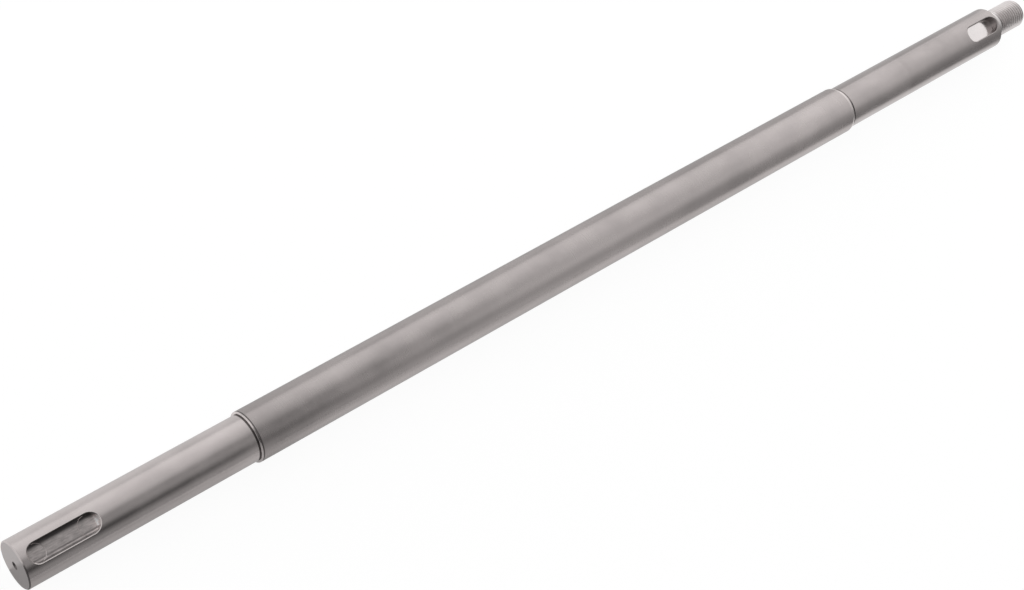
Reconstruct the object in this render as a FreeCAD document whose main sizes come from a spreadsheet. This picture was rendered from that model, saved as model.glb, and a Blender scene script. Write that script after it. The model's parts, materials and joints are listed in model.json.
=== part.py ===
import FreeCAD, Part
import os
import Sketcher

# Axle shaft turned from one steel bar, in millimetres.
# It lies along X, from the near journal to the threaded stud, with both keyways opening towards +Z.
# The row's origin is on the axis, halfway along the main section.
# Each journal is a step smaller than the main section, so the steps are what is driven.

NODE = "axle_shaft"

# Driving dimensions: alias and value
SIZES = (
    ("near_length", 101.0),
    ("near_step", 1.0),
    ("main_length", 339.2),
    ("main_diameter", 22.0),
    ("far_length", 110.2),
    ("far_step", 0.85),
    ("stud_length", 22.6),
    ("stud_diameter", 14.0),
    ("near_end_chamfer", 0.4),
    ("near_shoulder_chamfer", 0.5),
    ("far_lead_length", 1.0),
    ("far_lead_depth", 0.25),
    ("far_end_chamfer", 0.4),
    ("stud_end_chamfer", 1.2),
    ("near_relief_width", 0.6),
    ("near_relief_depth", 0.3),
    ("far_relief_width", 1.3),
    ("far_relief_depth", 0.2),
    ("witness_gap", 0.8),
    ("witness_width", 0.4),
    ("witness_depth", 0.15),
    ("near_keyway_gap", 3.1),
    ("near_keyway_length", 29.5),
    ("near_keyway_width", 8.0),
    ("near_keyway_depth", 4.0),
    ("plunge_clearance", 0.1),
    ("plunge_depth", 0.15),
    ("far_keyway_gap", 1.4),
    ("far_keyway_length", 20.8),
    ("far_keyway_width", 8.0),
    ("far_keyway_depth", 4.5),
    ("keyway_edge_break", 0.35),
    ("centre_mouth_diameter", 3.4),
    ("centre_pilot_diameter", 1.6),
    ("centre_depth", 4.0),
)

# Radii of the two journals, as the sketches state them
NEAR_RADIUS = "(Sizes.main_diameter / 2 - Sizes.near_step)"
FAR_RADIUS = "(Sizes.main_diameter / 2 - Sizes.far_step)"

# Half of the centre drill's 60 degree cone
CONE_HALF_ANGLE = "30 deg"

TOLERANCE = 0.001


def make_sheet(doc):
    """Put the driving dimensions in a spreadsheet, one alias a row."""
    sheet = doc.addObject("Spreadsheet::Sheet", "Sizes")
    for row, (alias, value) in enumerate(SIZES, start=1):
        sheet.set(f"A{row}", alias)
        sheet.set(f"B{row}", str(value))
        sheet.setAlias(f"B{row}", alias)
    doc.recompute()
    return sheet


def near_radius(sizes):
    """The near journal's radius."""
    return sizes.main_diameter / 2 - sizes.near_step


def far_radius(sizes):
    """The far journal's radius."""
    return sizes.main_diameter / 2 - sizes.far_step


def origin_plane(body, role):
    """The body's own origin plane of that role."""
    return next(item for item in body.Origin.OriginFeatures if item.Role == role)


def new_sketch(body, name, role, height=None):
    """A sketch on one of the body's planes, raised by an expression where one is given."""
    sketch = body.newObject("Sketcher::SketchObject", name)
    sketch.AttachmentSupport = [(origin_plane(body, role), "")]
    sketch.MapMode = "FlatFace"
    if height:
        sketch.setExpression("AttachmentOffset.Base.z", height)
    return sketch


def constrain(sketch, *constraint):
    """Add a constraint that follows from the shape and has no size."""
    sketch.addConstraint(Sketcher.Constraint(*constraint))


def dimension(sketch, name, expression, *constraint):
    """Add a named dimension and bind it to the spreadsheet."""
    index = sketch.addConstraint(Sketcher.Constraint(*constraint))
    sketch.renameConstraint(index, name)
    sketch.setExpression(f"Constraints.{name}", expression)


def add_polygon(sketch, points):
    """Draw a closed chain of lines and join their ends."""
    lines = []
    for start, end in zip(points, points[1:] + points[:1]):
        line = Part.LineSegment(FreeCAD.Vector(*start, 0), FreeCAD.Vector(*end, 0))
        lines.append(sketch.addGeometry(line))
    for line, following in zip(lines, lines[1:] + lines[:1]):
        constrain(sketch, "Coincident", line, 2, following, 1)
    return lines


def revolve(body, kind, name, sketch):
    """A full turn of the sketch about the shaft's axis."""
    feature = body.newObject(kind, name)
    feature.Profile = sketch
    feature.ReferenceAxis = (sketch, ["H_Axis"])
    feature.Angle = 360.0
    sketch.Visibility = False
    body.Document.recompute()
    return feature


def turn_blank(body, sizes):
    """The stepped bar: two journals, the main section between them and the stud."""
    steps = (("near", sizes.near_length, near_radius(sizes), NEAR_RADIUS),
             ("main", sizes.main_length, sizes.main_diameter / 2, "Sizes.main_diameter / 2"),
             ("far", sizes.far_length, far_radius(sizes), FAR_RADIUS),
             ("stud", sizes.stud_length, sizes.stud_diameter / 2, "Sizes.stud_diameter / 2"))
    points = [(0.0, 0.0)]
    place = 0.0
    for _, length, radius, _ in steps:
        points.append((place, radius))
        place += length
        points.append((place, radius))
    points.append((place, 0.0))

    sketch = new_sketch(body, "BlankSketch", "XY_Plane")
    lines = add_polygon(sketch, points)
    constrain(sketch, "Coincident", lines[0], 1, -1, 1)
    constrain(sketch, "PointOnObject", lines[-1], 1, -1)
    for line in lines[0:-1:2]:
        constrain(sketch, "Vertical", line)
    for line, (name, length, radius, expression) in zip(lines[1:-1:2], steps):
        constrain(sketch, "Horizontal", line)
        dimension(sketch, f"{name}_length", f"Sizes.{name}_length",
                  "DistanceX", line, 1, line, 2, length)
        dimension(sketch, f"{name}_radius", expression,
                  "DistanceY", -1, 1, line, 1, radius)
    return revolve(body, "PartDesign::Revolution", "Blank", sketch)


def cut_relief(body, sizes, prefix, side, shoulder, radius, radius_expression):
    """A grinding relief, a square groove in a journal against its shoulder, on side -1 or +1."""
    place, expression = shoulder
    width = getattr(sizes, f"{prefix}_relief_width")
    floor = radius - getattr(sizes, f"{prefix}_relief_depth")
    left, right = sorted((place, place + side * width))
    top = sizes.main_diameter / 2
    sketch = new_sketch(body, f"{prefix.capitalize()}ReliefSketch", "XY_Plane")
    bottom_line, right_line, top_line, left_line = add_polygon(
        sketch, [(left, floor), (right, floor), (right, top), (left, top)])
    for line in (bottom_line, top_line):
        constrain(sketch, "Horizontal", line)
    for line in (right_line, left_line):
        constrain(sketch, "Vertical", line)
    against = left_line if side > 0 else right_line
    dimension(sketch, "shoulder", expression, "DistanceX", -1, 1, against, 1, place)
    dimension(sketch, "width", f"Sizes.{prefix}_relief_width",
              "DistanceX", bottom_line, 1, bottom_line, 2, width)
    dimension(sketch, "floor", f"{radius_expression} - Sizes.{prefix}_relief_depth",
              "DistanceY", -1, 1, bottom_line, 1, floor)
    dimension(sketch, "top", "Sizes.main_diameter / 2", "DistanceY", -1, 1, top_line, 2, top)
    return revolve(body, "PartDesign::Groove", f"{prefix.capitalize()}Relief", sketch)


def cut_reliefs(body, sizes):
    """The reliefs beside the near and the far shoulder."""
    near_shoulder = (sizes.near_length, "Sizes.near_length")
    far_shoulder = (sizes.near_length + sizes.main_length, "Sizes.near_length + Sizes.main_length")
    cut_relief(body, sizes, "near", -1, near_shoulder, near_radius(sizes), NEAR_RADIUS)
    cut_relief(body, sizes, "far", 1, far_shoulder, far_radius(sizes), FAR_RADIUS)


def cut_witness_line(body, sizes):
    """The fine V line that runs round the main section, close behind the near shoulder."""
    middle = sizes.near_length + sizes.witness_gap
    bottom = sizes.main_diameter / 2 - sizes.witness_depth
    top = sizes.main_diameter / 2 + sizes.witness_depth
    sketch = new_sketch(body, "WitnessSketch", "XY_Plane")
    left_line, top_line, right_line = add_polygon(
        sketch, [(middle, bottom), (middle - sizes.witness_width, top),
                 (middle + sizes.witness_width, top)])
    constrain(sketch, "Horizontal", top_line)
    constrain(sketch, "Equal", left_line, right_line)
    dimension(sketch, "middle", "Sizes.near_length + Sizes.witness_gap",
              "DistanceX", -1, 1, left_line, 1, middle)
    dimension(sketch, "bottom", "Sizes.main_diameter / 2 - Sizes.witness_depth",
              "DistanceY", -1, 1, left_line, 1, bottom)
    dimension(sketch, "top", "Sizes.main_diameter / 2 + Sizes.witness_depth",
              "DistanceY", -1, 1, top_line, 1, top)
    dimension(sketch, "width", "2 * Sizes.witness_width",
              "DistanceX", top_line, 1, top_line, 2, 2 * sizes.witness_width)
    return revolve(body, "PartDesign::Groove", "WitnessLine", sketch)


def cut_far_lead(body, sizes):
    """The long shallow bevel that leads onto the main section from the far journal."""
    end = sizes.near_length + sizes.main_length
    low = sizes.main_diameter / 2 - sizes.far_lead_depth
    high = sizes.main_diameter / 2 + sizes.far_lead_depth
    sketch = new_sketch(body, "FarLeadSketch", "XY_Plane")
    _, end_line, top_line = add_polygon(
        sketch, [(end - 2 * sizes.far_lead_length, high), (end, low), (end, high)])
    constrain(sketch, "Vertical", end_line)
    constrain(sketch, "Horizontal", top_line)
    dimension(sketch, "end", "Sizes.near_length + Sizes.main_length",
              "DistanceX", -1, 1, end_line, 1, end)
    dimension(sketch, "low", "Sizes.main_diameter / 2 - Sizes.far_lead_depth",
              "DistanceY", -1, 1, end_line, 1, low)
    dimension(sketch, "high", "Sizes.main_diameter / 2 + Sizes.far_lead_depth",
              "DistanceY", -1, 1, end_line, 2, high)
    dimension(sketch, "length", "2 * Sizes.far_lead_length",
              "DistanceX", top_line, 2, top_line, 1, 2 * sizes.far_lead_length)
    return revolve(body, "PartDesign::Groove", "FarLead", sketch)


def drill_centre(body, sizes, name, face_x, face_expression, inward):
    """A centre hole in one end face, with inward +1 at the near end and -1 at the stud's."""
    mouth = sizes.centre_mouth_diameter / 2
    pilot = sizes.centre_pilot_diameter / 2
    cone = (mouth - pilot) * 3 ** 0.5
    tip = pilot / 3 ** 0.5
    deep = sizes.centre_depth
    places = [(0.0, 0.0), (0.0, mouth), (cone, pilot), (deep, pilot), (deep + tip, 0.0)]
    sketch = new_sketch(body, f"{name}Sketch", "XY_Plane")
    face, _, wall, _, axis = add_polygon(
        sketch, [(face_x + inward * along, radius) for along, radius in places])
    constrain(sketch, "Vertical", face)
    constrain(sketch, "Horizontal", wall)
    constrain(sketch, "PointOnObject", axis, 1, -1)
    if face_expression:
        constrain(sketch, "PointOnObject", face, 1, -1)
        dimension(sketch, "face", face_expression, "DistanceX", -1, 1, face, 1, face_x)
    else:
        constrain(sketch, "Coincident", face, 1, -1, 1)
    depth_ends = (face, 1, wall, 2) if inward > 0 else (wall, 2, face, 1)
    cone_ends = (face, 2, wall, 1) if inward > 0 else (wall, 1, face, 2)
    tip_ends = (wall, 2, axis, 1) if inward > 0 else (axis, 1, wall, 2)
    dimension(sketch, "mouth", "Sizes.centre_mouth_diameter / 2",
              "DistanceY", -1, 1, face, 2, mouth)
    dimension(sketch, "pilot", "Sizes.centre_pilot_diameter / 2",
              "DistanceY", -1, 1, wall, 1, pilot)
    dimension(sketch, "depth", "Sizes.centre_depth", "DistanceX", *depth_ends, deep)
    dimension(sketch, "cone", "(Sizes.centre_mouth_diameter - Sizes.centre_pilot_diameter) / 2"
              f" / tan({CONE_HALF_ANGLE})", "DistanceX", *cone_ends, cone)
    dimension(sketch, "tip", f"Sizes.centre_pilot_diameter / 2 * tan({CONE_HALF_ANGLE})",
              "DistanceX", *tip_ends, tip)
    return revolve(body, "PartDesign::Groove", name, sketch)


def draw_keyway(sketch, prefix, sizes, start, start_expression):
    """A round-ended outline along the axis, its sizes bound to the prefix's aliases."""
    length = getattr(sizes, f"{prefix}_keyway_length")
    radius = getattr(sizes, f"{prefix}_keyway_width") / 2
    left = start + radius
    right = start + length - radius
    quarter = FreeCAD.Units.Quantity("90 deg").getValueAs("rad").Value
    arcs = []
    for centre, first, last in ((left, quarter, 3 * quarter), (right, -quarter, quarter)):
        circle = Part.Circle(FreeCAD.Vector(centre, 0, 0), FreeCAD.Vector(0, 0, 1), radius)
        arcs.append(sketch.addGeometry(Part.ArcOfCircle(circle, first, last)))
    sides = []
    for y in (radius, -radius):
        line = Part.LineSegment(FreeCAD.Vector(left, y, 0), FreeCAD.Vector(right, y, 0))
        sides.append(sketch.addGeometry(line))
    upper, lower = sides
    constrain(sketch, "Tangent", arcs[0], 1, upper, 1)
    constrain(sketch, "Tangent", arcs[0], 2, lower, 1)
    constrain(sketch, "Tangent", arcs[1], 2, upper, 2)
    constrain(sketch, "Tangent", arcs[1], 1, lower, 2)
    constrain(sketch, "PointOnObject", arcs[0], 3, -1)
    constrain(sketch, "PointOnObject", arcs[1], 3, -1)
    dimension(sketch, "radius", f"Sizes.{prefix}_keyway_width / 2", "Radius", arcs[0], radius)
    dimension(sketch, "left", f"{start_expression} + Sizes.{prefix}_keyway_width / 2",
              "DistanceX", -1, 1, arcs[0], 3, left)
    dimension(sketch, "between", f"Sizes.{prefix}_keyway_length - Sizes.{prefix}_keyway_width",
              "DistanceX", arcs[0], 3, arcs[1], 3, right - left)


def pocket(body, name, sketch, depth_expression):
    """Mill down from the sketch to that depth."""
    before = body.Shape.Volume
    feature = body.newObject("PartDesign::Pocket", name)
    feature.Profile = sketch
    feature.Type = "Length"
    feature.setExpression("Length", depth_expression)
    sketch.Visibility = False
    body.Document.recompute()
    if body.Shape.Volume > before - TOLERANCE:
        raise RuntimeError(f"{name} cuts nothing")


def mill_keyways(body, sizes):
    """The two blind keyways, one in each journal."""
    near = new_sketch(body, "NearKeywaySketch", "XY_Plane", NEAR_RADIUS)
    draw_keyway(near, "near", sizes, sizes.near_keyway_gap, "Sizes.near_keyway_gap")
    pocket(body, "NearKeyway", near, "Sizes.near_keyway_depth")

    far_end = sizes.near_length + sizes.main_length + sizes.far_length
    start = far_end - sizes.far_keyway_gap - sizes.far_keyway_length
    expression = ("Sizes.near_length + Sizes.main_length + Sizes.far_length"
                  " - Sizes.far_keyway_gap - Sizes.far_keyway_length")
    far = new_sketch(body, "FarKeywaySketch", "XY_Plane", FAR_RADIUS)
    draw_keyway(far, "far", sizes, start, expression)
    pocket(body, "FarKeyway", far, "Sizes.far_keyway_depth")


def mark_plunges(body, sizes):
    """The two round marks on the near keyway's floor, where the cutter went in."""
    marks = new_sketch(body, "PlungeSketch", "XY_Plane",
                       f"{NEAR_RADIUS} - Sizes.near_keyway_depth")
    radius = sizes.near_keyway_width / 2 - sizes.plunge_clearance
    first = sizes.near_keyway_gap + sizes.near_keyway_width / 2
    last = sizes.near_keyway_gap + sizes.near_keyway_length - sizes.near_keyway_width / 2
    circles = [marks.addGeometry(Part.Circle(FreeCAD.Vector(x, 0, 0), FreeCAD.Vector(0, 0, 1),
                                             radius)) for x in (first, last)]
    for circle in circles:
        constrain(marks, "PointOnObject", circle, 3, -1)
    constrain(marks, "Equal", *circles)
    dimension(marks, "radius", "Sizes.near_keyway_width / 2 - Sizes.plunge_clearance",
              "Radius", circles[0], radius)
    dimension(marks, "first", "Sizes.near_keyway_gap + Sizes.near_keyway_width / 2",
              "DistanceX", -1, 1, circles[0], 3, first)
    dimension(marks, "between", "Sizes.near_keyway_length - Sizes.near_keyway_width",
              "DistanceX", circles[0], 3, circles[1], 3, last - first)
    pocket(body, "PlungeMarks", marks, "Sizes.plunge_depth")


def off_axis(vertex):
    """How far a vertex lies from the shaft's axis."""
    return (vertex.Y ** 2 + vertex.Z ** 2) ** 0.5


def ring_edges(shape, place, radius):
    """Names of the full circles of that radius at that place along the shaft."""
    names = []
    for number, edge in enumerate(shape.Edges, start=1):
        if not isinstance(edge.Curve, Part.Circle):
            continue
        centre = edge.Curve.Center
        if abs(centre.x - place) < TOLERANCE and abs(edge.Curve.Radius - radius) < TOLERANCE:
            names.append(f"Edge{number}")
    return names


def rim_edges(shape, first, last, radius):
    """Names of the edges between two places where a keyway meets a journal of that radius."""
    names = []
    for number, edge in enumerate(shape.Edges, start=1):
        box = edge.BoundBox
        if box.XMin < first - TOLERANCE or box.XMax > last + TOLERANCE:
            continue
        if all(abs(off_axis(vertex) - radius) < TOLERANCE for vertex in edge.Vertexes):
            names.append(f"Edge{number}")
    return names


def chamfer(body, name, edges, expression):
    """Break the named edges of the body as it stands."""
    if not edges:
        raise RuntimeError(f"{name} finds no edge")
    base = body.Tip
    feature = body.newObject("PartDesign::Chamfer", name)
    feature.Base = (base, edges)
    feature.setExpression("Size", expression)
    body.Document.recompute()


def break_edges(body, sizes):
    """Chamfer the keyways' rims, the near shoulder and the ends."""
    near_end = sizes.near_length
    far_end = near_end + sizes.main_length + sizes.far_length
    stud_end = far_end + sizes.stud_length
    rims = (("NearRim", sizes.near_keyway_gap,
             sizes.near_keyway_gap + sizes.near_keyway_length, near_radius(sizes)),
            ("FarRim", far_end - sizes.far_keyway_gap - sizes.far_keyway_length,
             far_end - sizes.far_keyway_gap, far_radius(sizes)))
    for name, first, last, radius in rims:
        edges = rim_edges(body.Shape, first, last, radius)
        chamfer(body, name, edges, "Sizes.keyway_edge_break")
    rings = (("NearEnd", 0.0, near_radius(sizes), "near_end_chamfer"),
             ("NearShoulder", near_end, sizes.main_diameter / 2, "near_shoulder_chamfer"),
             ("FarEnd", far_end, far_radius(sizes), "far_end_chamfer"),
             ("StudEnd", stud_end, sizes.stud_diameter / 2, "stud_end_chamfer"))
    for name, place, radius, alias in rings:
        edges = ring_edges(body.Shape, place, radius)
        chamfer(body, f"{name}Chamfer", edges, f"Sizes.{alias}")


def make_shaft(doc, sizes):
    """Build the shaft from its near end, then move the body so that the origin is mid-length."""
    body = doc.addObject("PartDesign::Body", "AxleShaft")
    body.Label = NODE
    turn_blank(body, sizes)
    cut_reliefs(body, sizes)
    cut_far_lead(body, sizes)
    total = sizes.near_length + sizes.main_length + sizes.far_length + sizes.stud_length
    total_expression = ("Sizes.near_length + Sizes.main_length + Sizes.far_length"
                        " + Sizes.stud_length")
    drill_centre(body, sizes, "NearCentre", 0.0, "", 1)
    drill_centre(body, sizes, "StudCentre", total, total_expression, -1)
    mill_keyways(body, sizes)
    mark_plunges(body, sizes)
    break_edges(body, sizes)
    cut_witness_line(body, sizes)
    body.setExpression("Placement.Base.x", "-(Sizes.near_length + Sizes.main_length / 2)")
    doc.recompute()
    return body


def check(doc, bodies):
    """Stop if a feature has failed or a piece isn't one valid solid."""
    for item in doc.Objects:
        if "Invalid" in item.State or "Error" in item.State:
            raise RuntimeError(f"{item.Name} has failed: {item.State}")
    for body in bodies:
        shape = body.Shape
        if shape.isNull() or not shape.isValid() or len(shape.Solids) != 1:
            raise RuntimeError(f"{body.Label} isn't one valid solid")


def main():
    doc = FreeCAD.newDocument("AxleShaft")
    sizes = make_sheet(doc)
    bodies = [make_shaft(doc, sizes)]
    check(doc, bodies)
    os.makedirs("parts", exist_ok=True)
    for body in bodies:
        body.Shape.exportStep(f"parts/{body.Label}.step")
        box = body.Shape.BoundBox
        print(f"{body.Label}: volume {body.Shape.Volume:.1f} mm3, X {box.XMin:.2f} to {box.XMax:.2f},"
              f" Y {box.YMin:.2f} to {box.YMax:.2f}, Z {box.ZMin:.2f} to {box.ZMax:.2f}")


main()
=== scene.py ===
import json
import math

import bmesh
import bpy
from mathutils import Matrix, Vector

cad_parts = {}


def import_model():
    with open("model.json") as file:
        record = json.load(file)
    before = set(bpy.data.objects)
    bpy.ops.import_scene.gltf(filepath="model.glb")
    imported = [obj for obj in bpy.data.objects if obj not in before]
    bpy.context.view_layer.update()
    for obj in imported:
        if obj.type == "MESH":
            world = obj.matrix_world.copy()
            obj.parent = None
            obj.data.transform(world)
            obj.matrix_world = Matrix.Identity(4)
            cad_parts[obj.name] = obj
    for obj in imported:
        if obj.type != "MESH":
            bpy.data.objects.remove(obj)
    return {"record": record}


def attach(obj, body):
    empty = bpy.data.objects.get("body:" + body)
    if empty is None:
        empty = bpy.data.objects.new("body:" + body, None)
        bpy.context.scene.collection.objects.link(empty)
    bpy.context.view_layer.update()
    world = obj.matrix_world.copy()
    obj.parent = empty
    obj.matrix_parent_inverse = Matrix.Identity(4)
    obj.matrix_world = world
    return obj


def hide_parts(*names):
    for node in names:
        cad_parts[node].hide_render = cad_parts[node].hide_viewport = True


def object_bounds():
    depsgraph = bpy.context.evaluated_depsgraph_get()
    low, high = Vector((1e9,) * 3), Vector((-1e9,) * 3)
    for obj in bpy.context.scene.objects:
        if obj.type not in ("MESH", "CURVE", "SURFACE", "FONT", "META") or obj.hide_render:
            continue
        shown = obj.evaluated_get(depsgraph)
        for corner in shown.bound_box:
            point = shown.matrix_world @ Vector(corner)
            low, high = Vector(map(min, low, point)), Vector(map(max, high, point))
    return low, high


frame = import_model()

# The axle shaft's looks: one turned piece with its thread, on a pale floor inside a light tent
MM = 0.001
NODE = "axle_shaft"
CAD_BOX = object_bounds()

# Sizes that the frame states, in millimetres. Places along the shaft count from its near end
# face, which lies at NEAR_X in the frame.
MOUNTS = {mount["name"]: mount for mount in frame["record"]["mounts"]}
NEAR_X = CAD_BOX[0][0] / MM
STUD_END = CAD_BOX[1][0] / MM - NEAR_X
NEAR_RADIUS = MOUNTS["keyed_journal"]["dims"]["r_mm"]
MAIN_RADIUS = MOUNTS["main_section"]["dims"]["r_mm"]
FAR_RADIUS = MOUNTS["far_journal"]["dims"]["r_mm"]
STUD_RADIUS = MOUNTS["stud"]["dims"]["r_mm"]

# Lengths and small features, in millimetres, as the solid has them
NEAR_LENGTH = 101.0
MAIN_LENGTH = 339.2
FAR_LENGTH = 110.2
MAIN_END = NEAR_LENGTH + MAIN_LENGTH
FAR_END = MAIN_END + FAR_LENGTH
NEAR_END_CHAMFER = 0.4
NEAR_SHOULDER_CHAMFER = 0.5
FAR_LEAD_LENGTH = 1.0
FAR_LEAD_DEPTH = 0.25
FAR_END_CHAMFER = 0.4
STUD_END_CHAMFER = 1.2
NEAR_RELIEF_WIDTH = 0.6
NEAR_RELIEF_DEPTH = 0.3
FAR_RELIEF_WIDTH = 1.3
FAR_RELIEF_DEPTH = 0.2
WITNESS_GAP = 0.8
WITNESS_WIDTH = 0.4
WITNESS_DEPTH = 0.15
NEAR_KEYWAY_START = 3.1
NEAR_KEYWAY_LENGTH = 29.5
NEAR_KEYWAY_DEPTH = 4.0
FAR_KEYWAY_GAP = 1.4
FAR_KEYWAY_LENGTH = 20.8
FAR_KEYWAY_START = FAR_END - FAR_KEYWAY_GAP - FAR_KEYWAY_LENGTH
FAR_KEYWAY_DEPTH = 4.5
KEYWAY_RADIUS = 4.0
KEYWAY_EDGE_BREAK = 0.35
PLUNGE_RADIUS = 3.9
PLUNGE_DEPTH = 0.15
CENTRE_MOUTH_RADIUS = 1.7
CENTRE_PILOT_RADIUS = 0.8
CENTRE_DEPTH = 4.0

# The thread, which the solid leaves plain, in millimetres. It begins after a plain neck. The dip
# is how much deeper the middle of its root is than the root's sides, as a factor, and the spare
# turns reach past the thread's two ends, where they are cut off.
THREAD_NECK = 4.0
THREAD_START = FAR_END + THREAD_NECK
THREAD_PITCH = 1.5
THREAD_DEPTH = 0.92
THREAD_RUNOUT = 1.5
THREAD_CREST = THREAD_PITCH / 8
THREAD_ROOT_WIDTH = THREAD_PITCH / 4
THREAD_ROOT_DIP = 1.06
THREAD_SPARE_TURNS = 3

# Small roundings and slopes, in millimetres, where the solid has sharp corners and upright sides
EDGE_ROUNDING = 0.06
FAR_RELIEF_ROUNDING = 0.04
FAR_RELIEF_SLOPE = 0.03
NEAR_RELIEF_SLOPE = 0.05
LEAD_ROUNDING = 0.03
LEAD_ROUNDING_RISE = 0.008
PLUNGE_SLOPE = 0.2
WALL_FILLET = 0.12

# Shares: how far a fillet's middle point stands off its corner's sides, and how far a keyway's
# broken edge bulges, with the parts of that bulge that go outwards and upwards
FILLET_MIDDLE = 0.3
RIM_BULGE = 0.3
RIM_BULGE_OUT = 0.5
RIM_BULGE_UP = 0.3

# How far a finish goes on past the edge that it belongs to, in millimetres
EDGE_MARGIN = 0.1
LEAD_MARGIN = 0.2
WITNESS_MARGIN_BEFORE = 0.05
WITNESS_MARGIN_AFTER = 0.15

# Places that follow from these
NEAR_RELIEF_START = NEAR_LENGTH - NEAR_RELIEF_WIDTH
WITNESS_MIDDLE = NEAR_LENGTH + WITNESS_GAP
WITNESS_START = WITNESS_MIDDLE - WITNESS_WIDTH / 2
WITNESS_END = WITNESS_MIDDLE + WITNESS_WIDTH / 2
LEAD_START = MAIN_END - FAR_LEAD_LENGTH
LEAD_RADIUS = MAIN_RADIUS - FAR_LEAD_DEPTH
FAR_RELIEF_END = MAIN_END + FAR_RELIEF_WIDTH

# How finely the mesh is cut: faces round the shaft, in half a keyway's round end and along its
# straight part, rings round its mouth, which crowd towards it by a power under 1, faces across
# its broken edge and across a plunge mark, lengths of the plain stretches, and the radii of
# rings on the end faces
AROUND = 256
PATCH_HALF = 22
SLOT_ALONG = 48
PATCH_RINGS = 6
PATCH_CROWDING = 0.8
RIM_STEPS = 4
PLUNGE_STEPS = 8
NEAR_STATIONS = 6
MAIN_STATIONS = 14
FAR_STATIONS = 6
NECK_STATIONS = 3
NEAR_FACE_RINGS = (5.0, 8.5)
STUD_FACE_RING = 3.5
ANGLES = [2 * math.pi * step / AROUND for step in range(AROUND + 1)]
HALF_TURN = [math.pi * step / (2 * PATCH_HALF) for step in range(2 * PATCH_HALF + 1)]

# Corners flatter than this aren't rounded, and a rounding takes this share of a side at most
NEARLY_STRAIGHT = math.radians(165)
ROUNDING_REACH = 0.4

# Edges that turn by more than this are shaded sharp, and points that agree to this many decimals
# are one
SHARP_EDGE = math.radians(25)
SAME_POINT_DIGITS = 5

# Materials of the shaft, by the order of their slots
(NEAR_GROUND, MAIN_TURNED, FAR_GROUND, MILLED, FACED, HOLLOW_PAINTED_SHADE, STUD_TURNED, THREADED, SLOPE_PAINTED_HIGHLIGHT,
 FAR_FLOOR_PAINTED_HIGHLIGHT, FAR_WALL, THREAD_ROOT, RIM, NEAR_EDGE, SHOULDER_PAINTED_GLINT, FAR_RELIEF) = range(16)


def placed(name, data):
    """A new object in the scene, from a mesh or a camera."""
    piece = bpy.data.objects.new(name, data)
    bpy.context.scene.collection.objects.link(piece)
    return piece


def spaced(first, last, count):
    """The ends of that many equal steps from first to last."""
    return [first + (last - first) * step / count for step in range(count + 1)]


class Shell:
    """Faces gathered from grids of points, with points that coincide joined."""

    def __init__(self):
        self.index = {}
        self.points = []
        self.faces = []
        self.finish = []

    def vertex(self, point):
        key = tuple(round(value, SAME_POINT_DIGITS) for value in point)
        if key not in self.index:
            self.index[key] = len(self.points)
            self.points.append(point)
        return self.index[key]

    def grid(self, rows, finish):
        """Quads between neighbouring rows, or triangles where two corners coincide."""
        numbered = [[self.vertex(point) for point in row] for row in rows]
        for row, following in zip(numbered, numbered[1:]):
            for j in range(len(row) - 1):
                ring = []
                for corner in (row[j], row[j + 1], following[j + 1], following[j]):
                    if corner not in ring:
                        ring.append(corner)
                if len(ring) > 2:
                    self.faces.append(ring)
                    self.finish.append(finish)

    def strips(self, rows, columns, finishes):
        """A grid in strips, each from one of these columns to the next, with its own finish."""
        for first, last, finish in zip(columns, columns[1:], finishes):
            self.grid([row[first:last + 1] for row in rows], finish)

    def build(self, name):
        """The mesh object, closed, with its faces turned outwards and its clear edges sharp."""
        mesh = bpy.data.meshes.new(name)
        corners = [((x + NEAR_X) * MM, y * MM, z * MM) for x, y, z in self.points]
        mesh.from_pydata(corners, [], self.faces)
        mesh.polygons.foreach_set("material_index", self.finish)
        surface = bmesh.new()
        surface.from_mesh(mesh)
        bmesh.ops.recalc_face_normals(surface, faces=surface.faces)
        loose = [edge for edge in surface.edges if len(edge.link_faces) != 2]
        if loose:
            raise RuntimeError(f"{name} has {len(loose)} open edges")
        surface.to_mesh(mesh)
        surface.free()
        mesh.shade_smooth()
        mesh.set_sharp_from_angle(angle=SHARP_EDGE)
        return placed(name, mesh)


def on_cylinder(x, angle, radius):
    """A point at that angle from +Z, turning towards +Y."""
    return (x, radius * math.sin(angle), radius * math.cos(angle))


def rounded(profile, rounding=EDGE_ROUNDING, steps=2):
    """The profile with each clear corner turned into a small curve."""
    result = [profile[0]]
    for before, corner, after in zip(profile, profile[1:], profile[2:]):
        a = Vector(before) - Vector(corner)
        b = Vector(after) - Vector(corner)
        reach = min(rounding, ROUNDING_REACH * a.length, ROUNDING_REACH * b.length)
        if a.angle(b) > NEARLY_STRAIGHT:
            result.append(corner)
            continue
        start = Vector(corner) + a.normalized() * reach
        end = Vector(corner) + b.normalized() * reach
        for step in range(steps + 1):
            t = step / steps
            point = start.lerp(Vector(corner), t).lerp(Vector(corner).lerp(end, t), t)
            result.append(tuple(point))
    result.append(profile[-1])
    return result


def lathe(shell, profile, finish):
    """A full turn of a profile of (x, radius) points."""
    rows = [[on_cylinder(x, angle, radius) for angle in ANGLES] for x, radius in profile]
    shell.grid(rows, finish)


def plain(shell, x_from, x_to, radius, stations, finish):
    """A plain cylindrical stretch, cut into that many lengths."""
    lathe(shell, [(x, radius) for x in spaced(x_from, x_to, stations)], finish)


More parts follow.
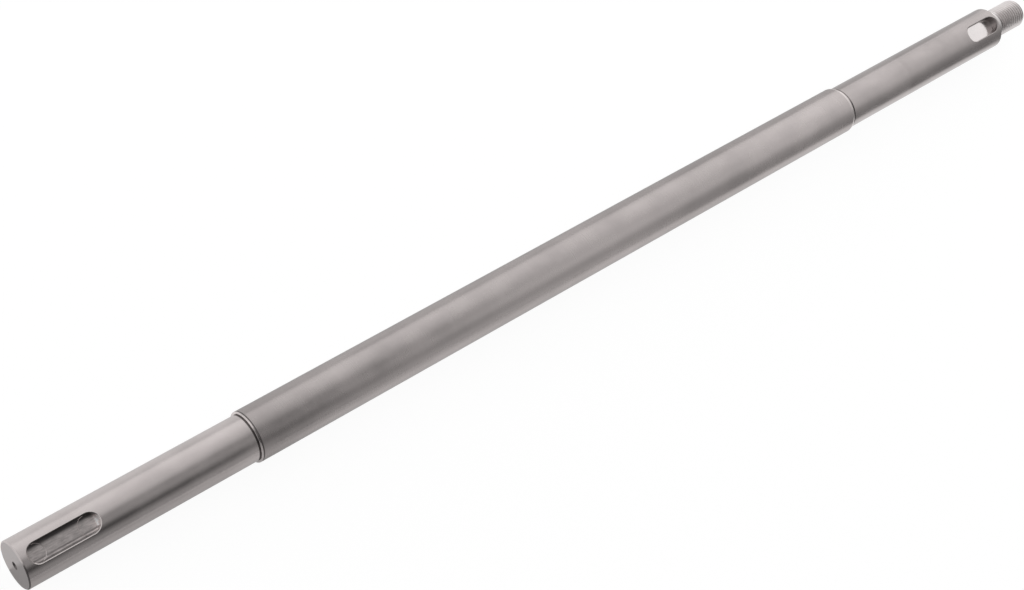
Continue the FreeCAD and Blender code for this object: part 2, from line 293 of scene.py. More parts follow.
class Keyway:
    """A round-ended keyway that opens to +Z, and the patch of its journal that surrounds it."""

    def __init__(self, radius, start, length, depth, margin_before, margin_beyond):
        self.radius = radius
        self.floor = radius - depth
        self.left = start + KEYWAY_RADIUS
        self.right = start + length - KEYWAY_RADIUS
        self.patch_from = start - margin_before
        self.patch_to = start + length + margin_beyond

    def outline(self, radius):
        """Both sides and both round ends, of that radius, as one closed loop of (x, y) points."""
        ends = [(radius * math.sin(turn), radius * math.cos(turn)) for turn in HALF_TURN[:-1]]
        loop = [(x, radius) for x in spaced(self.left, self.right, SLOT_ALONG)[:-1]]
        loop += [(self.right + x, y) for x, y in ends]
        loop += [(x, -radius) for x in spaced(self.right, self.left, SLOT_ALONG)[:-1]]
        loop += [(self.left - x, -y) for x, y in ends]
        return loop + loop[:1]

    def border(self):
        """The patch's edge, as one closed loop of (x, angle) points that match the outline's."""
        half = ANGLES[PATCH_HALF]
        across = [half * (1 - step / PATCH_HALF) for step in range(2 * PATCH_HALF)]
        loop = [(x, half) for x in spaced(self.patch_from, self.patch_to, SLOT_ALONG)[:-1]]
        loop += [(self.patch_to, angle) for angle in across]
        loop += [(x, -half) for x in spaced(self.patch_to, self.patch_from, SLOT_ALONG)[:-1]]
        loop += [(self.patch_from, -angle) for angle in across]
        return loop + loop[:1]

    def journal(self, shell, finish):
        """The stretch of journal that the keyway is in, with the keyway's mouth left open."""
        rest = ANGLES[PATCH_HALF:AROUND - PATCH_HALF + 1]
        stations = spaced(self.patch_from, self.patch_to, SLOT_ALONG)
        shell.grid([[on_cylinder(x, angle, self.radius) for angle in rest] for x in stations],
                   finish)
        border = self.border()
        mouth = self.outline(KEYWAY_RADIUS + KEYWAY_EDGE_BREAK)
        rows = []
        for ring in range(PATCH_RINGS + 1):
            t = (ring / PATCH_RINGS) ** PATCH_CROWDING
            row = []
            for (x, angle), (mouth_x, mouth_y) in zip(border, mouth):
                turn = angle + (math.asin(mouth_y / self.radius) - angle) * t
                row.append(on_cylinder(x + (mouth_x - x) * t, turn, self.radius))
            rows.append(row)
        shell.grid(rows, finish)

    def sides(self, shell, rim_finish, wall_finish):
        """The broken edge round the mouth, and the wall, with a small fillet at its foot."""
        rows = []
        for step in range(RIM_STEPS + 1):
            t = step / RIM_STEPS
            outward = KEYWAY_EDGE_BREAK * (1 - t)
            down = KEYWAY_EDGE_BREAK * t
            bulge = RIM_BULGE * KEYWAY_EDGE_BREAK * math.sin(math.pi * t) / math.sqrt(2)
            loop = self.outline(KEYWAY_RADIUS + outward + bulge * RIM_BULGE_OUT)
            rows.append([(x, y, math.sqrt(self.radius ** 2 - y ** 2) - down + bulge * RIM_BULGE_UP)
                         for x, y in loop])
        shell.grid(rows, rim_finish)

        top = rows[-1]
        foot = self.floor + WALL_FILLET
        rows = [top]
        for t in (0.5, 1.0):
            rows.append([(x, y, z + (foot - z) * t) for x, y, z in top])
        bend = WALL_FILLET * FILLET_MIDDLE
        for radius, height in ((KEYWAY_RADIUS - bend, self.floor + bend),
                               (PLUNGE_RADIUS, self.floor)):
            rows.append([(x, y, height) for x, y in self.outline(radius)])
        shell.grid(rows, wall_finish)

    def flat_floor(self, shell, finish):
        """A plain floor, out to where the wall's fillet ends."""
        rows = []
        for turn in HALF_TURN:
            reach = PLUNGE_RADIUS * math.sin(turn)
            stations = [self.left - reach, *spaced(self.left, self.right, SLOT_ALONG),
                        self.right + reach]
            rows.append([(x, PLUNGE_RADIUS * math.cos(turn), self.floor) for x in stations])
        shell.grid(rows, finish)

    def plunged_floor(self, shell, finish, mark_side_finish):
        """The floor with the two round marks where the cutter was plunged in."""
        deep = self.floor - PLUNGE_DEPTH
        low_radius = PLUNGE_RADIUS - PLUNGE_SLOPE
        rows = []
        for turn in HALF_TURN:
            reach = PLUNGE_RADIUS * math.sin(turn)
            low = low_radius * math.sin(turn)
            y = PLUNGE_RADIUS * math.cos(turn)
            y_low = low_radius * math.cos(turn)
            marks = [[(centre - low + 2 * low * step / PLUNGE_STEPS, y_low, deep)
                      for step in range(PLUNGE_STEPS + 1)] for centre in (self.left, self.right)]
            between = [(x, y, self.floor)
                       for x in spaced(self.left + reach, self.right - reach, SLOT_ALONG)]
            rows.append([(self.left - reach, y, self.floor), *marks[0], *between, *marks[1],
                         (self.right + reach, y, self.floor)])
        # The columns where the two marks' inner sides begin
        near_side = PLUNGE_STEPS + 1
        far_side = near_side + 1 + SLOT_ALONG
        shell.strips(rows, (0, near_side, near_side + 1, far_side, far_side + 1, len(rows[0]) - 1),
                     (finish, mark_side_finish, finish, mark_side_finish, finish))


NEAR_KEYWAY = Keyway(NEAR_RADIUS, NEAR_KEYWAY_START, NEAR_KEYWAY_LENGTH, NEAR_KEYWAY_DEPTH,
                     margin_before=1.4, margin_beyond=1.6)
FAR_KEYWAY = Keyway(FAR_RADIUS, FAR_KEYWAY_START, FAR_KEYWAY_LENGTH, FAR_KEYWAY_DEPTH,
                    margin_before=1.6, margin_beyond=0.8)


def centre_hole(shell, face_x, inward):
    """The centre drill's cone of 60 degrees, its pilot, and the pilot's tip of 120 degrees."""
    cone = (CENTRE_MOUTH_RADIUS - CENTRE_PILOT_RADIUS) * math.sqrt(3)
    tip = CENTRE_PILOT_RADIUS / math.sqrt(3)
    profile = [(0.0, CENTRE_MOUTH_RADIUS), (cone, CENTRE_PILOT_RADIUS),
               (CENTRE_DEPTH, CENTRE_PILOT_RADIUS), (CENTRE_DEPTH + tip, 0.0)]
    lathe(shell, [(face_x + inward * x, radius) for x, radius in profile], HOLLOW_PAINTED_SHADE)


def near_journal(shell):
    """The near end face with its centre hole, and the journal with its keyway."""
    face_radius = NEAR_RADIUS - NEAR_END_CHAMFER
    face_edge = face_radius - EDGE_ROUNDING
    edge_end = NEAR_END_CHAMFER + EDGE_MARGIN
    centre_hole(shell, 0.0, 1)
    lathe(shell, [(0.0, radius) for radius in (CENTRE_MOUTH_RADIUS, *NEAR_FACE_RINGS, face_edge)],
          FACED)
    lathe(shell, rounded([(0.0, face_edge), (0.0, face_radius), (NEAR_END_CHAMFER, NEAR_RADIUS),
                          (edge_end, NEAR_RADIUS)]), NEAR_EDGE)
    lathe(shell, [(edge_end, NEAR_RADIUS), (NEAR_KEYWAY.patch_from, NEAR_RADIUS)], NEAR_GROUND)
    NEAR_KEYWAY.journal(shell, NEAR_GROUND)
    NEAR_KEYWAY.sides(shell, RIM, MILLED)
    # The plunge marks' inner sides get brighter steel, a painted highlight
    NEAR_KEYWAY.plunged_floor(shell, MILLED, SLOPE_PAINTED_HIGHLIGHT)
    plain(shell, NEAR_KEYWAY.patch_to, NEAR_RELIEF_START - EDGE_MARGIN, NEAR_RADIUS,
          NEAR_STATIONS, NEAR_GROUND)


def near_shoulder(shell):
    """The grinding relief, the shoulder's face and chamfer, and the fine line behind them."""
    relief_radius = NEAR_RADIUS - NEAR_RELIEF_DEPTH
    face_radius = MAIN_RADIUS - NEAR_SHOULDER_CHAMFER
    line_from = WITNESS_START - WITNESS_MARGIN_BEFORE
    lathe(shell, rounded([(NEAR_RELIEF_START - EDGE_MARGIN, NEAR_RADIUS),
                          (NEAR_RELIEF_START, NEAR_RADIUS),
                          (NEAR_RELIEF_START + NEAR_RELIEF_SLOPE, relief_radius),
                          (NEAR_LENGTH - NEAR_RELIEF_SLOPE, relief_radius),
                          (NEAR_LENGTH, relief_radius + NEAR_RELIEF_SLOPE),
                          (NEAR_LENGTH, relief_radius + EDGE_MARGIN)]), HOLLOW_PAINTED_SHADE)
    # The shoulder's face and chamfer carry a painted glint
    lathe(shell, [(NEAR_LENGTH, relief_radius + EDGE_MARGIN),
                  (NEAR_LENGTH, face_radius - EDGE_MARGIN)], SHOULDER_PAINTED_GLINT)
    lathe(shell, rounded([(NEAR_LENGTH, face_radius - EDGE_MARGIN), (NEAR_LENGTH, face_radius),
                          (NEAR_LENGTH + NEAR_SHOULDER_CHAMFER, MAIN_RADIUS),
                          (line_from, MAIN_RADIUS)]), SHOULDER_PAINTED_GLINT)
    lathe(shell, rounded([(line_from, MAIN_RADIUS), (WITNESS_START, MAIN_RADIUS),
                          (WITNESS_MIDDLE, MAIN_RADIUS - WITNESS_DEPTH),
                          (WITNESS_END, MAIN_RADIUS),
                          (WITNESS_END + WITNESS_MARGIN_AFTER, MAIN_RADIUS)]), HOLLOW_PAINTED_SHADE)


def main_section(shell):
    """The main section behind the fine line, with the lead at its far end."""
    plain(shell, WITNESS_END + WITNESS_MARGIN_AFTER, LEAD_START - LEAD_MARGIN, MAIN_RADIUS,
          MAIN_STATIONS, MAIN_TURNED)
    # The lead gets brighter steel, a painted highlight
    lathe(shell, [(LEAD_START - LEAD_MARGIN, MAIN_RADIUS), (LEAD_START, MAIN_RADIUS),
                  (MAIN_END - LEAD_ROUNDING, LEAD_RADIUS + LEAD_ROUNDING_RISE),
                  (MAIN_END, LEAD_RADIUS - LEAD_ROUNDING)], SLOPE_PAINTED_HIGHLIGHT)


def far_journal(shell):
    """The far relief, the journal with its keyway, and its end face."""
    relief_radius = FAR_RADIUS - FAR_RELIEF_DEPTH
    face_radius = FAR_RADIUS - FAR_END_CHAMFER
    face_edge = face_radius - EDGE_ROUNDING
    edge_start = FAR_END - FAR_END_CHAMFER - EDGE_MARGIN
    lathe(shell, rounded([(MAIN_END, LEAD_RADIUS - LEAD_ROUNDING), (MAIN_END, relief_radius),
                          (FAR_RELIEF_END - FAR_RELIEF_SLOPE, relief_radius),
                          (FAR_RELIEF_END, FAR_RADIUS),
                          (FAR_RELIEF_END + EDGE_MARGIN, FAR_RADIUS)], FAR_RELIEF_ROUNDING),
          FAR_RELIEF)
    plain(shell, FAR_RELIEF_END + EDGE_MARGIN, FAR_KEYWAY.patch_from, FAR_RADIUS, FAR_STATIONS,
          FAR_GROUND)
    FAR_KEYWAY.journal(shell, FAR_GROUND)
    FAR_KEYWAY.sides(shell, FAR_WALL, FAR_WALL)
    FAR_KEYWAY.flat_floor(shell, FAR_FLOOR_PAINTED_HIGHLIGHT)
    lathe(shell, [(FAR_KEYWAY.patch_to, FAR_RADIUS), (edge_start, FAR_RADIUS)], FAR_GROUND)
    lathe(shell, rounded([(edge_start, FAR_RADIUS), (FAR_END - FAR_END_CHAMFER, FAR_RADIUS),
                          (FAR_END, face_radius), (FAR_END, face_edge)]), FAR_WALL)
    lathe(shell, [(FAR_END, face_edge), (FAR_END, STUD_RADIUS)], FACED)


def thread(shell):
    """A right-hand thread that begins with a runout and ends in the stud's end chamfer."""
    flank = (THREAD_PITCH - THREAD_CREST - THREAD_ROOT_WIDTH) / 2
    root_from = THREAD_CREST + flank
    # One turn's outline: how far along, and how much of the depth
    outline = ((0.0, 0.0), (THREAD_CREST, 0.0), (THREAD_CREST + flank / 2, 0.5), (root_from, 1.0),
               (root_from + THREAD_ROOT_WIDTH / 2, THREAD_ROOT_DIP),
               (root_from + THREAD_ROOT_WIDTH, 1.0),
               (THREAD_CREST + 1.5 * flank + THREAD_ROOT_WIDTH, 0.5))
    turns = int((STUD_END - THREAD_START) / THREAD_PITCH) + THREAD_SPARE_TURNS
    chamfer_start = STUD_END - STUD_END_CHAMFER
    rows = []
    for angle in ANGLES:
        row = []
        for turn in range(-1, turns):
            for along, depth in outline:
                x = THREAD_START + THREAD_PITCH * (turn - angle / (2 * math.pi)) + along
                x = min(max(x, THREAD_START), STUD_END)
                fade = min((x - THREAD_START) / THREAD_RUNOUT, 1.0)
                radius = STUD_RADIUS - THREAD_DEPTH * depth * fade
                if x > chamfer_start:
                    radius = min(radius, STUD_RADIUS - (x - chamfer_start))
                row.append(on_cylinder(x, angle, radius))
        row.append(on_cylinder(STUD_END, angle, STUD_RADIUS - STUD_END_CHAMFER))
        rows.append(row)
    # The root takes the four columns between the middles of the two flanks, in darker steel that is
    # painted shade
    length = len(outline)
    for start in range(0, length * (turns + 1), length):
        shell.strips(rows, (start, start + 2, start + 6, start + length),
                     (THREADED, THREAD_ROOT, THREADED))


def stud(shell):
    """The stud's plain neck, its thread, and its end face with the centre hole."""
    plain(shell, FAR_END, THREAD_START, STUD_RADIUS, NECK_STATIONS, STUD_TURNED)
    thread(shell)
    lathe(shell, [(STUD_END, STUD_RADIUS - STUD_END_CHAMFER), (STUD_END, STUD_FACE_RING),
                  (STUD_END, CENTRE_MOUTH_RADIUS)], FACED)
    centre_hole(shell, STUD_END, -1)


def shaft():
    """The whole shaft, from the near end to the stud."""
    shell = Shell()
    for part in (near_journal, near_shoulder, main_section, far_journal, stud):
        part(shell)
    return shell.build("shaft_surface")


def grey(value):
    """An opaque grey of that brightness."""
    return (value, value, value, 1.0)


class Nodes:
    """Short calls for building the node tree of a new material or world."""

    def __init__(self, holder):
        holder.use_nodes = True
        self.tree = holder.node_tree
        self.tree.nodes.clear()

    def add(self, kind, **settings):
        node = self.tree.nodes.new(kind)
        for name, value in settings.items():
            setattr(node, name, value)
        return node

    def feed(self, node, socket, value):
        """Link an output to the socket, or set its value."""
        target = node.inputs[socket]
        if isinstance(value, bpy.types.NodeSocket):
            self.tree.links.new(value, target)
        else:
            target.default_value = value

    def place(self):
        """Where the shaded point lies on its object."""
        return self.add("ShaderNodeTexCoord").outputs["Object"]

    def parts(self, vector):
        """A vector's X, Y and Z."""
        node = self.add("ShaderNodeSeparateXYZ")
        self.feed(node, "Vector", vector)
        return node.outputs

    def maths(self, operation, *values):
        node = self.add("ShaderNodeMath", operation=operation)
        for number, value in enumerate(values):
            self.feed(node, number, value)
        return node.outputs[0]

    def stretched(self, vector, scale):
        node = self.add("ShaderNodeVectorMath", operation="MULTIPLY")
        self.feed(node, 0, vector)
        node.inputs[1].default_value = scale
        return node.outputs[0]

    def noise(self, vector, detail=2.0, roughness=0.5):
        node = self.add("ShaderNodeTexNoise")
        self.feed(node, "Vector", vector)
        node.inputs["Scale"].default_value = 1.0
        node.inputs["Detail"].default_value = detail
        node.inputs["Roughness"].default_value = roughness
        return node.outputs["Fac"]

    def ramp(self, value, stops):
        """A colour by the value, from stops of a place and a colour."""
        node = self.add("ShaderNodeValToRGB")
        self.feed(node, "Fac", value)
        elements = node.color_ramp.elements
        while len(elements) < len(stops):
            elements.new(0.5)
        for element, (place, colour) in zip(elements, stops):
            element.position = place
            element.color = colour
        return node.outputs["Color"]

    def grey_ramp(self, value, stops, start=0.0, end=1.0):
        """A grey by the value, where 0 stands for a stop's place at start, and 1 for one at end."""
        return self.ramp(value, [((place - start) / (end - start), grey(level))
                                 for place, level in stops])

    def eased(self, value, low, high, start=0.0, end=1.0):
        """Low where the value is up to start, high from end on, and smooth between them."""
        node = self.add("ShaderNodeMapRange", interpolation_type="SMOOTHSTEP")
        self.feed(node, "Value", value)
        node.inputs["From Min"].default_value = start
        node.inputs["From Max"].default_value = end
        node.inputs["To Min"].default_value = low
        node.inputs["To Max"].default_value = high
        return node.outputs["Result"]

    def blend(self, kind, factor, first, second):
        """A mix of two colours."""
        node = self.add("ShaderNodeMix", data_type="RGBA", blend_type=kind)
        self.feed(node, "Factor", factor)
        self.feed(node, "A", first)
        self.feed(node, "B", second)
        return node.outputs["Result"]

    def mirrored(self, path):
        """1 for what metal or glass shows, from the light path's outputs."""
        return self.maths("MAXIMUM", path["Is Glossy Ray"], path["Is Transmission Ray"])

    def glow(self, colour):
        """A shader that gives off this colour."""
        node = self.add("ShaderNodeEmission")
        self.feed(node, "Color", colour)
        return node.outputs["Emission"]

    def mixed(self, share, first, second):
        """The first shader, with that share of the second."""
        node = self.add("ShaderNodeMixShader")
        for number, value in enumerate((share, first, second)):
            self.feed(node, number, value)
        return node.outputs["Shader"]

    def close(self, shader, kind="ShaderNodeOutputMaterial"):
        """Make the shader the tree's result."""
        self.feed(self.add(kind), "Surface", shader)


# The steel's own hue, a little warm, and a more neutral one
HUE = Vector((1.0, 0.918, 0.903))
NEUTRAL = Vector((1.0, 0.945, 0.935))

# A finish's tone mixes its tool marks, by this share, with broader patches, and goes from its dark
# to its light end between these two values
MARKS_SHARE = 0.2
TONE_DARK = 0.3
TONE_LIGHT = 0.7


def steel(name, level, roughness, grain, bump, edge=1.0, uneven=0.04, changes=(), mottle=0.09,
          patches=(60.0, 90.0, 90.0), hue=HUE):
    """Bare steel with tool marks, as many per metre along each axis as grain says.

    The level is the steel's brightness, and edge how much of it is left at a grazing view.
    Uneven is how much the roughness varies, and mottle how much the brightness does, in patches
    of so many per metre. Bump is the marks' height in metres. Each of the changes is an axis,
    the two places in metres between which the brightness changes, and the factor from there on."""
    material = bpy.data.materials.new(name)
    nodes = Nodes(material)
    place = nodes.place()
    marks = nodes.noise(nodes.stretched(place, grain), detail=3.0, roughness=0.6)
    clouds = nodes.noise(nodes.stretched(place, patches), detail=4.0)
    tone = nodes.maths("MULTIPLY_ADD", marks, MARKS_SHARE,
                       nodes.maths("MULTIPLY", clouds, 1 - MARKS_SHARE))
    dark = (1 - mottle) * level * hue
    light = [min(1.0, value) for value in (1 + mottle) * level * hue]
    colour = nodes.ramp(tone, ((TONE_DARK, (*dark, 1.0)), (TONE_LIGHT, (*light, 1.0))))
    if changes:
        parts = nodes.parts(place)
    for axis, start, end, factor in changes:
        shade = nodes.eased(parts[axis], 1.0, factor, start, end)
        tint = nodes.add("ShaderNodeCombineColor")
        for channel in ("Red", "Green", "Blue"):
            nodes.feed(tint, channel, shade)
        colour = nodes.blend("MULTIPLY", 1.0, colour, tint.outputs["Color"])
    surface = nodes.add("ShaderNodeBsdfPrincipled")
    surface.inputs["Metallic"].default_value = 1.0
    surface.inputs["Specular Tint"].default_value = grey(edge)
    nodes.feed(surface, "Base Color", colour)
    nodes.feed(surface, "Roughness",
               nodes.eased(tone, roughness - uneven, roughness + uneven, TONE_DARK, TONE_LIGHT))
    relief = nodes.add("ShaderNodeBump")
    relief.inputs["Strength"].default_value = 1.0
    relief.inputs["Distance"].default_value = bump
    nodes.feed(relief, "Height", marks)
    nodes.feed(surface, "Normal", relief.outputs["Normal"])
    nodes.close(surface.outputs["BSDF"])
    return material


def in_frame(x):
    """A place along the shaft, in the frame's metres."""
    return x * MM + NEAR_X * MM


# Grains, in marks per metre along X, Y and Z: fine lines round the shaft, then the marks of
# milling and facing, and the near shoulder's painted glints
GROUND_LINES = (7000.0, 60.0, 60.0)
TURNED_LINES = (4500.0, 50.0, 50.0)
STUD_LINES = (4500.0, 60.0, 60.0)
THREAD_LINES = (4000.0, 300.0, 300.0)
FINE_LINES = (4000.0, 200.0, 200.0)
NEAR_MILLING = (1800.0, 2400.0, 300.0)
FAR_MILLING = (2500.0, 900.0, 300.0)
FACING = (300.0, 1800.0, 1800.0)
PAINTED_GLINT_GRAIN = (200.0, 900.0, 900.0)

# Changes along the main section, and past a faint line round the far journal, which lies this
# many millimetres from the far shoulder
FAR_LINE_FROM_SHOULDER = 41.2
SHOULDER_AT = in_frame(NEAR_LENGTH)
LINE_AT = in_frame(MAIN_END + FAR_LINE_FROM_SHOULDER)
MAIN_CHANGES = (("X", SHOULDER_AT, SHOULDER_AT + 0.05, 1.12), ("X", 0.02, 0.06, 0.95),
                ("X", 0.09, 0.13, 1.09))
FAR_CHANGES = (("X", LINE_AT - 0.0002, LINE_AT + 0.0002, 0.95),)

# Painted light and shade on the near keyway's floor: painted shade along its +Y side, a dark, a
# light and a dark painted line along the other, and painted light towards its inner end
KEYWAY_END_AT = in_frame(NEAR_KEYWAY_START + NEAR_KEYWAY_LENGTH)
MILLED_PAINTED_LIGHT_AND_SHADE = (("Y", 0.0014, 0.0032, 0.16), ("Y", -0.0019, -0.0021, 0.62),
                  ("Y", -0.0025, -0.0027, 2.0), ("Y", -0.0031, -0.0033, 0.45),
                  ("X", KEYWAY_END_AT - 0.006, KEYWAY_END_AT - 0.002, 1.35),
                  ("X", KEYWAY_END_AT - 0.0012, KEYWAY_END_AT - 0.0004, 1.5))

# Painted shade: the near keyway's edge, dark on its +Y side, and the near end's edge, dark on
# its -Y side
RIM_PAINTED_SHADE = (("Y", 0.001, 0.003, 0.35),)
NEAR_EDGE_PAINTED_SHADE = (("Y", 0.0, -0.0025, 0.25),)

# Painted light and shade: the near shoulder's edge, a painted glint, bright but for a darker
# stretch in the middle; the far shoulder's relief, painted dark only towards its -Y side; and the
# stud, painted a little darker towards its -Y side and brighter towards the other
PAINTED_GLINT_CHANGES = (("Y", 0.0025, 0.0, 0.4), ("Y", -0.003, -0.006, 2.2))
FAR_RELIEF_PAINTED_SHADE = (("Y", 0.002, -0.002, 0.3),)
STUD_PAINTED_LIGHT_AND_SHADE = (("Y", -0.003, -0.0055, 0.82), ("Y", 0.002, 0.0055, 1.25))


def shaft_materials():
    """The finishes, in the order of their numbers."""
    return [
        steel("ground_steel", 0.6, 0.22, GROUND_LINES, bump=4e-6, edge=0.85),
        steel("turned_steel", 0.44, 0.26, TURNED_LINES, bump=1.5e-6, edge=0.68,
              changes=MAIN_CHANGES, mottle=0.11),
        steel("far_ground_steel", 0.46, 0.22, GROUND_LINES, bump=2e-6, edge=0.82,
              changes=FAR_CHANGES, mottle=0.11),
        steel("milled_steel", 0.53, 0.44, NEAR_MILLING, bump=4e-5, changes=MILLED_PAINTED_LIGHT_AND_SHADE,
              mottle=0.28, patches=(350.0, 1500.0, 500.0)),
        steel("faced_steel", 0.42, 0.33, FACING, bump=8e-6),
        # Steel darkened as painted shade, for the centre holes, the near relief and the fine line
        steel("recess_steel", 0.17, 0.42, FINE_LINES, bump=8e-6),
        steel("stud_steel", 0.62, 0.2, STUD_LINES, bump=5e-6, changes=STUD_PAINTED_LIGHT_AND_SHADE, hue=NEUTRAL),
        steel("thread_steel", 0.69, 0.28, THREAD_LINES, bump=6e-6, changes=STUD_PAINTED_LIGHT_AND_SHADE,
              hue=NEUTRAL),
        # Steel brightened as a painted highlight, for the main section's lead and the plunge marks'
        # sides
        steel("bevel_steel", 0.66, 0.3, FINE_LINES, bump=4e-6),
        # The far keyway's floor, much brighter than the other steel, as a painted highlight
        steel("far_floor_steel", 0.9, 0.16, FAR_MILLING, bump=4e-6, hue=NEUTRAL),
        steel("far_wall_steel", 0.36, 0.3, FAR_MILLING, bump=6e-6),
        # The thread's roots, darker than its flanks, as painted shade
        steel("thread_root_steel", 0.55, 0.34, THREAD_LINES, bump=6e-6, changes=STUD_PAINTED_LIGHT_AND_SHADE,
              hue=NEUTRAL),
        steel("rim_steel", 0.62, 0.3, FINE_LINES, bump=4e-6, changes=RIM_PAINTED_SHADE),
        steel("edge_steel", 0.6, 0.3, FINE_LINES, bump=4e-6, changes=NEAR_EDGE_PAINTED_SHADE),
        steel("glinting_steel", 0.66, 0.24, PAINTED_GLINT_GRAIN, bump=4e-5, changes=PAINTED_GLINT_CHANGES, mottle=0.4),
        steel("far_relief_steel", 0.4, 0.34, FINE_LINES, bump=4e-6, changes=FAR_RELIEF_PAINTED_SHADE),
    ]


# The floor, in metres: its own grey, how far it is lifted to white for the camera and for what
# mirrors it, and to what level for the camera
FLOOR_Z = -MAIN_RADIUS * MM
FLOOR_HALF = 6.0
FLOOR_PAPER = 0.9
FLOOR_CAMERA_SHARE = 0.85
FLOOR_CAMERA_GLOW = 1.09
FLOOR_MIRROR_SHARE = 0.6

# Painted light and shade in the floor's glow as the metal mirrors it, at places in metres along
# the shaft, close to it and farther off: on the +Y side, and on the -Y side, where the painted
# shade stands for the tent's dim side
FLOOR_ALONG = (-0.25, 0.45)
FLOOR_BRIGHT_CLOSE = ((-0.25, 1.16), (-0.1, 1.06), (0.15, 1.03), (0.2, 0.98), (0.3, 0.98),
                      (0.33, 1.65))
FLOOR_BRIGHT_BEYOND = ((-0.25, 0.98), (-0.1, 0.84), (0.1, 0.8), (0.2, 0.75), (0.3, 0.85),
                       (0.33, 1.5))
FLOOR_DIM_CLOSE = ((-0.25, 0.6), (-0.18, 0.66), (-0.12, 1.2), (0.05, 1.35), (0.18, 1.6),
                   (0.25, 1.65), (0.29, 1.65), (0.31, 1.0))
FLOOR_DIM_BEYOND = ((-0.25, 0.42), (-0.18, 0.44), (-0.05, 0.76), (0.05, 1.0), (0.12, 0.95),
                    (0.2, 0.45), (0.25, 0.35), (0.29, 0.3), (0.31, 0.15))
FLOOR_CLOSE_TO = 0.02
FLOOR_BEYOND_FROM = 0.09


def floor_painted_light(nodes):
    """How far the floor is lifted to white, and to what level, for what sees or mirrors it. For
    what mirrors it, the level is painted light and shade.
    """
    path = nodes.add("ShaderNodeLightPath").outputs
    seen = nodes.maths("MULTIPLY", path["Is Camera Ray"], FLOOR_CAMERA_SHARE)
    mirrored = nodes.maths("MULTIPLY", nodes.mirrored(path), FLOOR_MIRROR_SHARE)
    share = nodes.maths("MAXIMUM", seen, mirrored)
    x, y, _ = nodes.parts(nodes.place())
    start, end = FLOOR_ALONG
    along = nodes.maths("DIVIDE", nodes.maths("SUBTRACT", x, start), end - start)
    away = nodes.eased(nodes.maths("ABSOLUTE", y), 0.0, 1.0, FLOOR_CLOSE_TO, FLOOR_BEYOND_FROM)
    sides = []
    for close, beyond in ((FLOOR_DIM_CLOSE, FLOOR_DIM_BEYOND),
                          (FLOOR_BRIGHT_CLOSE, FLOOR_BRIGHT_BEYOND)):
        sides.append(nodes.blend("MIX", away, nodes.grey_ramp(along, close, start, end),
                                 nodes.grey_ramp(along, beyond, start, end)))
    level = nodes.blend("MIX", nodes.maths("GREATER_THAN", y, 0.0), *sides)
    return share, nodes.blend("MIX", path["Is Camera Ray"], level, grey(FLOOR_CAMERA_GLOW))


def floor():
    """A pale floor, lifted to white for what sees it but still showing the shadow."""
    mesh = bpy.data.meshes.new("floor")
    half = FLOOR_HALF
    mesh.from_pydata([(-half, -half, FLOOR_Z), (half, -half, FLOOR_Z), (half, half, FLOOR_Z),
                      (-half, half, FLOOR_Z)], [], [(0, 1, 2, 3)])
    material = bpy.data.materials.new("floor")
    nodes = Nodes(material)
    paper = nodes.add("ShaderNodeBsdfDiffuse")
    paper.inputs["Color"].default_value = grey(FLOOR_PAPER)
    share, level = floor_painted_light(nodes)
    nodes.close(nodes.mixed(share, paper.outputs["BSDF"], nodes.glow(level)))
    mesh.materials.append(material)
    piece = placed("floor", mesh)


# Strengths of the background, for what sees or mirrors it and as a light
WORLD_WHITE = 1.0
WORLD_SOFT = 0.6


def world():
    """White for what sees the background, and a soft plain light for the rest."""
    setting = bpy.data.worlds.new("studio")
    bpy.context.scene.world = setting
    nodes = Nodes(setting)
    path = nodes.add("ShaderNodeLightPath").outputs
    seen = nodes.maths("MAXIMUM", path["Is Camera Ray"], nodes.mirrored(path))
    lights = []
    for strength in (WORLD_SOFT, WORLD_WHITE):
        light = nodes.add("ShaderNodeBackground")
        light.inputs["Color"].default_value = grey(1.0)
        light.inputs["Strength"].default_value = strength
        lights.append(light.outputs["Background"])
    nodes.close(nodes.mixed(seen, *lights), "ShaderNodeOutputWorld")


# The light tent, in metres
TENT_RADIUS = 1.5
TENT_HALF_LENGTH = 4.0
TENT_STEPS = 48

# Brightness of the tent round its curve, from 0 at the floor on the +Y side, through 0.5 overhead,
# to 1 at the floor on the -Y side: where the near journal, the near shoulder, the middle, the far
# journal and the stud reflect it
NEAR_TENT = ((0.0, 0.95), (0.09, 0.97), (0.167, 0.9), (0.238, 0.81), (0.306, 0.74), (0.372, 0.72),
             (0.436, 0.6), (0.5, 0.35), (0.6, 0.36), (0.65, 0.32), (0.694, 0.17), (0.762, 0.05),
             (0.833, 0.19), (0.91, 0.35), (1.0, 0.32))
SHOULDER_TENT = ((0.0, 1.0), (0.09, 1.01), (0.167, 0.94), (0.238, 0.85), (0.306, 0.71),
                 (0.372, 0.52), (0.436, 0.31), (0.5, 0.19), (0.6, 0.18), (0.694, 0.26),
                 (0.762, 0.28), (0.833, 0.33), (0.91, 0.47), (1.0, 0.37))
MIDDLE_TENT = ((0.0, 0.93), (0.09, 1.02), (0.2, 0.95), (0.3, 0.87), (0.4, 0.8), (0.5, 0.76),
               (0.564, 0.79), (0.63, 0.88), (0.694, 0.78), (0.762, 0.61), (0.833, 0.57),
               (0.91, 0.66), (1.0, 0.74))
FAR_TENT = ((0.0, 1.1), (0.1, 1.12), (0.2, 1.12), (0.3, 1.08), (0.4, 1.0), (0.45, 0.95),
            (0.5, 0.9), (0.564, 0.88), (0.63, 0.79), (0.694, 0.69), (0.762, 0.53), (0.833, 0.43),
            (0.91, 0.36), (1.0, 0.32))
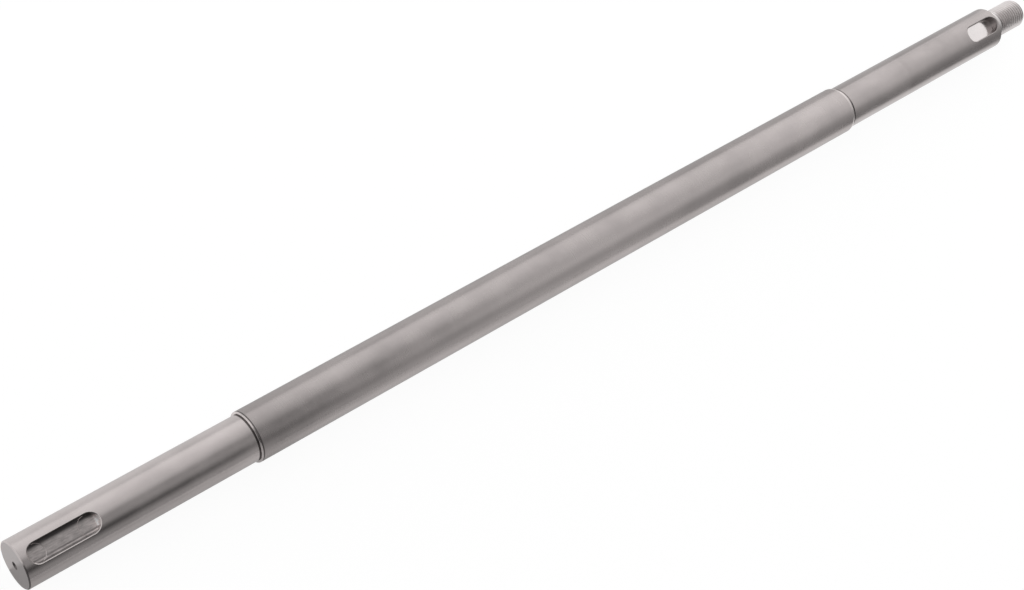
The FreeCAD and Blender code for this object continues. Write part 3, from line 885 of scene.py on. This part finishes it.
STUD_TENT = ((0.0, 1.45), (0.09, 1.4), (0.167, 1.3), (0.238, 1.2), (0.306, 1.12), (0.372, 1.03),
             (0.436, 0.92), (0.5, 0.84), (0.564, 0.77), (0.63, 0.66), (0.694, 0.54), (0.762, 0.4),
             (0.833, 0.3), (0.91, 0.25), (1.0, 0.25))

# The stretches of X, in metres, over which one brightness turns into the next
NEAR_TO_SHOULDER = (0.43, 0.47)
SHOULDER_TO_MIDDLE = (0.45, 0.92)
MIDDLE_TO_FAR = (0.98, 1.3)
FAR_TO_STUD = (1.79, 1.84)


def light_tent():
    """A half-round tent over the shaft, bright on its +Y side and dim on its -Y side."""
    rows = []
    for angle in spaced(0.0, math.pi, TENT_STEPS):
        y = TENT_RADIUS * math.cos(angle)
        z = FLOOR_Z + TENT_RADIUS * math.sin(angle)
        rows.append(((-TENT_HALF_LENGTH, y, z), (TENT_HALF_LENGTH, y, z)))
    points = [point for row in rows for point in row]
    faces = [(2 * i, 2 * i + 1, 2 * i + 3, 2 * i + 2) for i in range(TENT_STEPS)]
    mesh = bpy.data.meshes.new("light_tent")
    mesh.from_pydata(points, [], faces)
    material = bpy.data.materials.new("light_tent")
    nodes = Nodes(material)
    x, y, z = nodes.parts(nodes.place())
    turn = nodes.maths("DIVIDE", nodes.maths("ARCTAN2", z, y), math.pi)
    light = nodes.grey_ramp(turn, NEAR_TENT)
    for stops, (start, end) in ((SHOULDER_TENT, NEAR_TO_SHOULDER),
                                (MIDDLE_TENT, SHOULDER_TO_MIDDLE),
                                (FAR_TENT, MIDDLE_TO_FAR), (STUD_TENT, FAR_TO_STUD)):
        light = nodes.blend("MIX", nodes.eased(x, 0.0, 1.0, start, end), light,
                            nodes.grey_ramp(turn, stops))
    nodes.close(nodes.glow(light))
    mesh.materials.append(material)
    piece = placed("light_tent", mesh)
    piece.visible_camera = False


# The photograph's viewpoint, in metres: where the camera stands, where it aims, and the direction
# that is up in the picture, which makes the shaft rise from the lower left to the upper right.
# The lens and the sensor are in millimetres.
CAMERA_PLACE = Vector((-0.4603, -0.0164, 0.7206))
CAMERA_AIM = Vector((-0.0348, -0.0017, 0.0))
CAMERA_UP = Vector((0.4182, 0.8689, 0.2648))
CAMERA_LENS = 70.3
CAMERA_SENSOR = 36.0
CAMERA_CLIP_START = 0.01


def camera():
    """The photograph's camera, above the near end and beyond it."""
    data = bpy.data.cameras.new("camera")
    data.sensor_width = CAMERA_SENSOR
    data.lens = CAMERA_LENS
    data.clip_start = CAMERA_CLIP_START
    piece = placed("camera", data)
    back = (CAMERA_PLACE - CAMERA_AIM).normalized()
    right = CAMERA_UP.cross(back).normalized()
    up = back.cross(right)
    turn = Matrix((right, up, back)).transposed().to_4x4()
    piece.matrix_world = Matrix.Translation(CAMERA_PLACE) @ turn
    bpy.context.scene.camera = piece


def main():
    camera()
    world()
    floor()
    light_tent()
    piece = shaft()
    for material in shaft_materials():
        piece.data.materials.append(material)
    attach(piece, "root")
    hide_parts(NODE)
    bpy.context.scene.view_settings.view_transform = "Standard"


main()
